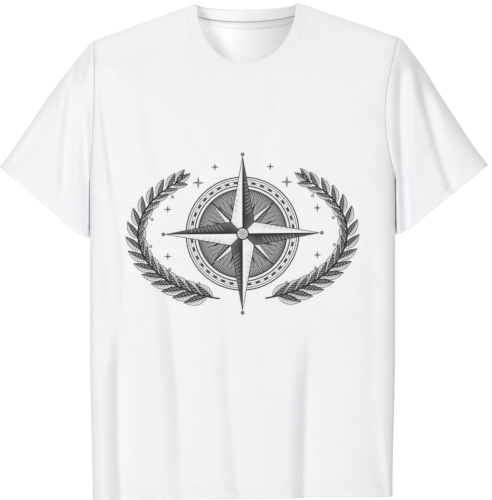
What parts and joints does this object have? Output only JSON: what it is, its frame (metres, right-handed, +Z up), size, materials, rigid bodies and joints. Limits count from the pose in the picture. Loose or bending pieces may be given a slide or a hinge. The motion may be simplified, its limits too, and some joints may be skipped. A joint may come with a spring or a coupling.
{
  "type": "t-shirt with a chest print",
  "caption": "Hollow short-sleeved crew-neck T-shirt in its worn shape, with a ribbed neck band, turned-up hems and seams inside.",
  "frame": {"origin": "between the wearer's shoulders, at the height of the shoulder tips and over the side seams", "axes": "+Z up towards the neck, -Y out of the front of the shirt, +X towards the wearer's left sleeve"},
  "size_m": [0.71, 0.1665, 0.7239],
  "materials": {
    "jersey": "matte white cotton jersey",
    "rib": "matte white ribbed cotton",
    "tape": "matte white cotton tape",
    "thread": "white overlock and stitching thread",
    "ink": "black and grey ink printed on the knit"
  },
  "bodies": {
    "root": {"front_panel": "jersey", "back_panel": "jersey", "sleeve_left": "jersey", "sleeve_right": "jersey", "neck_band": "rib", "neck_tape": "tape", "front_hem": "jersey", "back_hem": "jersey", "cuff_left": "jersey", "cuff_right": "jersey", "side_seam_left": "thread", "side_seam_right": "thread", "shoulder_seam_left": "thread", "shoulder_seam_right": "thread", "armhole_seam_left": "thread", "armhole_seam_right": "thread", "underarm_seam_left": "thread", "underarm_seam_right": "thread"}
  },
  "joints": []
}
